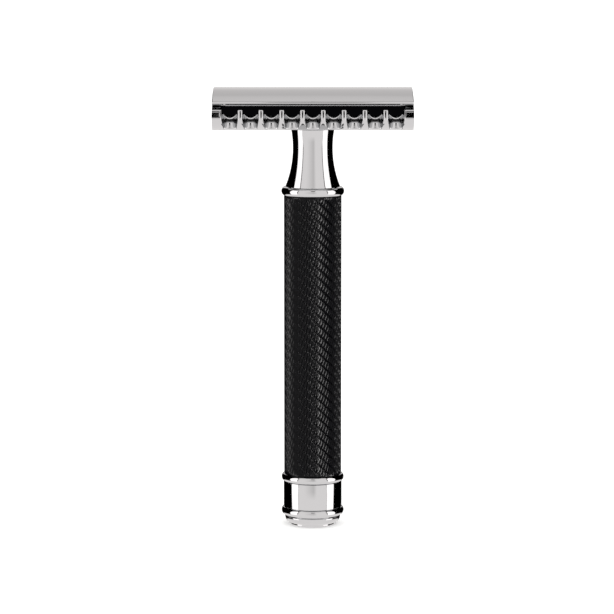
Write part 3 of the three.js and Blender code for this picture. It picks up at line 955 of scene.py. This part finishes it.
def comb_casting():
    """The mixed sections along the path, with the back row of teeth as the front row's mirror image.

    Each step's section is half = gap + tooth share * (tooth - gap), then half + block share * (block - half).
    The lip under a slot is raised by rise * (r - sqrt(r^2 - off^2)), off being the distance in x from
    the middle of the slot and r the scoop's radius, so the slot has the shape of a U.
    """
    path = comb_path()
    tips, ribs, tooth, block = (column[:, None] for column in path.T)
    half = gap_section + tooth[..., None] * (tooth_section - gap_section)
    half = half + block[..., None] * (block_section - half)
    y, z = half[..., 0], half[..., 1]
    up = np.clip((z - PLATE_LOW) / 2.6, 0, 1)
    wavy = ribs + (tips - ribs) * up
    off = np.abs((wavy + SLOT_PITCH / 2) % SLOT_PITCH - SLOT_PITCH / 2)
    scoop = SCOOP_RADIUS - np.sqrt(np.clip(SCOOP_RADIUS**2 - off**2, 0, None))
    lip = np.clip((z - LIP_Z) / 0.8, 0, 1) * np.clip((y - LIP_Y) / 0.25, 0, 1)
    z = z + SCOOP_RISE * scoop * lip * (1 - tooth) * (np.abs(wavy) < SLOT_PITCH * SLOT_COUNT / 2)
    half = np.stack([wavy + 0 * y, y, z], axis=-1)
    other = half[:, -2:0:-1] * [1, -1, 1]
    return carried_mesh("comb_casting", np.concatenate([half, other], axis=1))


holes = [circle(0, 0, 2.75), circle(PIN_X, 0, 1.4), circle(-PIN_X, 0, 1.4)]
cutters = [upright_cutter(hole, low=80, high=99) for hole in holes]
pocket = rounded([(8.6, -4.6, 1.4), (17.8, -4.6, 1.4), (17.8, 4.6, 1.4), (8.6, 4.6, 1.4)], steps=8)
cutters += [upright_cutter(pocket * [side, 1], low=80, high=92) for side in (1, -1)]
comb = cut_mesh("comb", comb_casting(), cutters)
add_piece("open_comb_plate", comb, "comb", CHROME_WITH_PAINTED_SHADE, "chrome_plate", "comb_plate")

# %% [markdown]
# ## Neck
#
# The neck ferrule is turned from brass and chromed. A bead stands at its foot, and above it the neck
# sweeps in to a waist and out again under the comb plate. The profile runs up the outside, over the
# top and down the thread hole, and sweeping it round the axis gives the piece.


# %% Ferrule
NECK_TOP = PLATE_LOW - 0.02
WAIST_RADIUS, WAIST_Z, SWEEP = 4.36, 83.47, 22.4


def bead(radius, z, a, b, steps=28):
    """A half-round ring: an arc of an ellipse from just under its lower edge to just over its upper one."""
    return arc(radius, z, a, b, -82, 82, steps)


def ferrule_profile():
    """Bead, neck, groove and lip up the outside, then the stepped bore down the inside to the spigot."""
    ring = bead(6.2, 74.05, 0.68, 0.92)
    start, end = ring[-1, 1] + 0.1, NECK_TOP - 0.45
    low = 180 + math.degrees(math.asin((WAIST_Z - start) / SWEEP))
    high = 180 - math.degrees(math.asin((end - WAIST_Z) / SWEEP))
    neck = arc(WAIST_RADIUS + SWEEP, WAIST_Z, SWEEP, SWEEP, low, high, 64)
    groove = [(4.6, NECK_TOP - 0.42), (4.58, NECK_TOP - 0.34), (4.62, NECK_TOP - 0.28)]
    lip = np.vstack([groove, arc(4.74, NECK_TOP - 0.13, 0.13, 0.13, -80, 90, 10)])
    bore = [(3.4, NECK_TOP), (3.4, 79.4), (2.8, 79.4), (2.8, 71.1), (2.1, 71.1), (2.1, 65.1)]
    spigot = [(4.1, 65.1), (4.5, 65.5), (4.5, ring[0, 1])]
    return np.vstack([ring, neck, lip, bore, spigot])


ferrule = turned_mesh("ferrule", ferrule_profile(), segments=160, closed=True)
add_piece("chromed_neck", ferrule, "handle", CHROME, "chrome_plate", "neck_ferrule")

bush_low, bush_high = height_range("neck_thread_bush")
wall = [(2.5, bush_low), (3.3, bush_low), (3.3, bush_high, 0.1), (2.8, bush_high), (2.5, bush_high - 0.3)]
bush = turned_mesh("bush", rounded(wall, steps=4), segments=96, closed=True)
add_piece("thread_bush", bush, "handle", BRASS, "brass", "neck_thread_bush")

# %% [markdown]
# ## Grip
#
# The grip's relief is a set of upright ridges that zigzag as they climb. Each ridge's zigzag starts
# a quarter of a period lower than that of its neighbour on the left, and from a distance the bends
# line up as diagonals, like a twill. The mesh follows the ridges, with seven lines of the grid to
# each, so even a shallow relief keeps its edges. A ridge is lopsided: its left flank is the steep one.


# %% Grip
RIDGES = 68
ZIGZAG_PERIOD = 2.06
ZIGZAG_SWING = 0.4  # of a ridge's width, to each side
ZIGZAG_STEPS = 6  # rows of points to a period
RELIEF = 0.2
PLAIN_END = 0.35  # the smooth band at either end
RIDGE_PROFILE = [1.0, 0.93, 0.7, 0.45, 0.2, 0.0, 0.45]  # a long flank on the right, a steep one on the left


def grip_sleeve():
    """radius = r - relief * (1 - crest), angle = (line - swing * zigzag(height, line)) * 2 pi / ridges.

    crest is the ridge's profile, repeated round the grip: 1 on top and 0 in the valley. zigzag is a
    triangle wave that runs from -1 to 1.
    """
    steps = len(RIDGE_PROFILE)
    lines = np.arange(RIDGES * steps)[:, None] / steps
    low, high = GRIP_BOTTOM + PLAIN_END, GRIP_TOP - PLAIN_END
    z = np.arange(low, high, ZIGZAG_PERIOD / ZIGZAG_STEPS)
    z = np.r_[z, high]
    phase = z / ZIGZAG_PERIOD + lines / 4
    zigzag = 4 * np.abs(phase - np.floor(phase + 0.5)) - 1
    angle = (lines - ZIGZAG_SWING * zigzag) * 2 * np.pi / RIDGES
    crest = np.tile(RIDGE_PROFILE, RIDGES)[:, None]
    fade = np.clip(np.minimum(z - low, high - z) / 0.2, 0, 1)
    radius = GRIP_RADIUS - RELIEF * (1 - crest) * fade
    ends = [(5.3, GRIP_BOTTOM), (GRIP_RADIUS - 0.12, GRIP_BOTTOM), (GRIP_RADIUS, GRIP_BOTTOM + 0.12)]
    tops = [(GRIP_RADIUS, GRIP_TOP - 0.12), (GRIP_RADIUS - 0.12, GRIP_TOP), (5.3, GRIP_TOP)]
    bore = [(5.3, GRIP_TOP - 0.9), (4.6, GRIP_TOP - 0.9), (4.6, GRIP_BOTTOM + 0.9), (5.3, GRIP_BOTTOM + 0.9)]

    def rings(profile):
        """Radius, height and angle of plain rings of points, one for each point of a profile."""
        r, h = np.array(profile).T
        return r + 0 * angle[:, :1], h + 0 * angle[:, :1], angle[:, :1] + 0 * h

    before, after = rings(ends), rings(tops + bore)
    r = np.hstack([before[0], radius, after[0]])
    h = np.hstack([before[1], z + 0 * radius, after[1]])
    a = np.hstack([before[2], angle, after[2]])
    points = np.stack([r * np.cos(a), r * np.sin(a), h], axis=-1)
    faces = link_grid(len(lines), points.shape[1], wrap_rows=True, wrap_columns=True)
    return build_mesh("grip", points.reshape(-1, 3), faces)


grip = grip_sleeve()
sleeve = add_piece("patterned_grip", grip, "handle", BLACK, "black_grip", "grip_sleeve")


# %% Lamps for the grip
LAMP_DISTANCE = 550
only_grip = bpy.data.collections.new("lit_by_grip_lamps")
only_grip.objects.link(sleeve)


def grip_lamp(name, turn, rise, width, height, watts):
    """A lamp that shines on the grip only. Turn and rise are in degrees, the sizes in mm.

    Black needs far more light than chrome before its highlights show, so these are shaded off from
    the bright parts.
    """
    light = bpy.data.lights.new(name, "AREA")
    light.shape = "RECTANGLE"
    light.size = width * MM
    light.size_y = height * MM
    light.energy = watts
    light.color = linear("#FFFDFC")[:3]
    lamp = bpy.data.objects.new(name, light)
    bpy.context.scene.collection.objects.link(lamp)
    a, b = math.radians(turn), math.radians(rise)
    toward = Vector((math.sin(a) * math.cos(b), -math.cos(a) * math.cos(b), math.sin(b)))
    lamp.location = toward * LAMP_DISTANCE * MM + Vector((0, 0, HEIGHT * MM / 2))
    lamp.rotation_euler = toward.to_track_quat("Z", "Y").to_euler()
    lamp.light_linking.receiver_collection = only_grip
    lamp.visible_camera = False
    return lamp


grip_lamp("low_lamp_right", 82, -22, 120, 260, 2.4)
grip_lamp("lamp_right", 58, 10, 50, 560, 2.5)
grip_lamp("lamp_left", -68, -6, 130, 420, 1.3)
grip_lamp("lamp_front", 22, 12, 30, 420, 0.5)

# %% [markdown]
# ## End collar and foot
#
# The collar closes the handle: a plain band between two beads, with a thin groove where each bead
# meets the band. Below it sits the foot, a shallow plug: a round shoulder over a narrower ring, and a
# flat underneath.


# %% Collar
def collar_profile():
    """Lower bead, band and upper bead up the outside, then the spigot and the bore inside."""
    lower, upper = bead(6.25, 3.12, 0.62, 0.82), bead(6.25, 10.62, 0.62, 0.79)
    band = rounded([(6.2, 4.0), (6.41, 4.06, 0.06), (6.41, 9.72, 0.06), (6.2, 9.78)], steps=4)
    spigot = [(4.5, upper[-1, 1]), (4.5, 19.05), (4.1, 19.45), (2.1, 19.45), (2.1, 8.3), (5.0, 8.3)]
    return np.vstack([lower, band, upper, spigot, [(5.0, lower[0, 1])]])


collar = turned_mesh("collar", collar_profile(), segments=160, closed=True)
add_piece("chromed_collar", collar, "handle", CHROME, "chrome_plate", "end_collar")


# %% Foot
def foot_profile():
    """Ring, shoulder and flange up the outside, then the rim that goes up into the collar."""
    ring = arc(4.64, 0.12, 0.12, 0.12, -90, 0, 6)
    shoulder = arc(4.85, 1.9, 1.25, 1.45, -86, 0, 20)
    rim = [(6.1, 1.95), (6.05, 2.0), (4.9, 2.0), (4.9, 3.9), (4.0, 3.9), (4.0, 2.0), (0, 2.0)]
    return np.vstack([[0, 0], ring, [4.78, 0.4], shoulder, rim])


foot = turned_mesh("foot", foot_profile(), segments=160)
add_piece("chromed_foot", foot, "handle", CHROME, "chrome_plate", "end_plug")
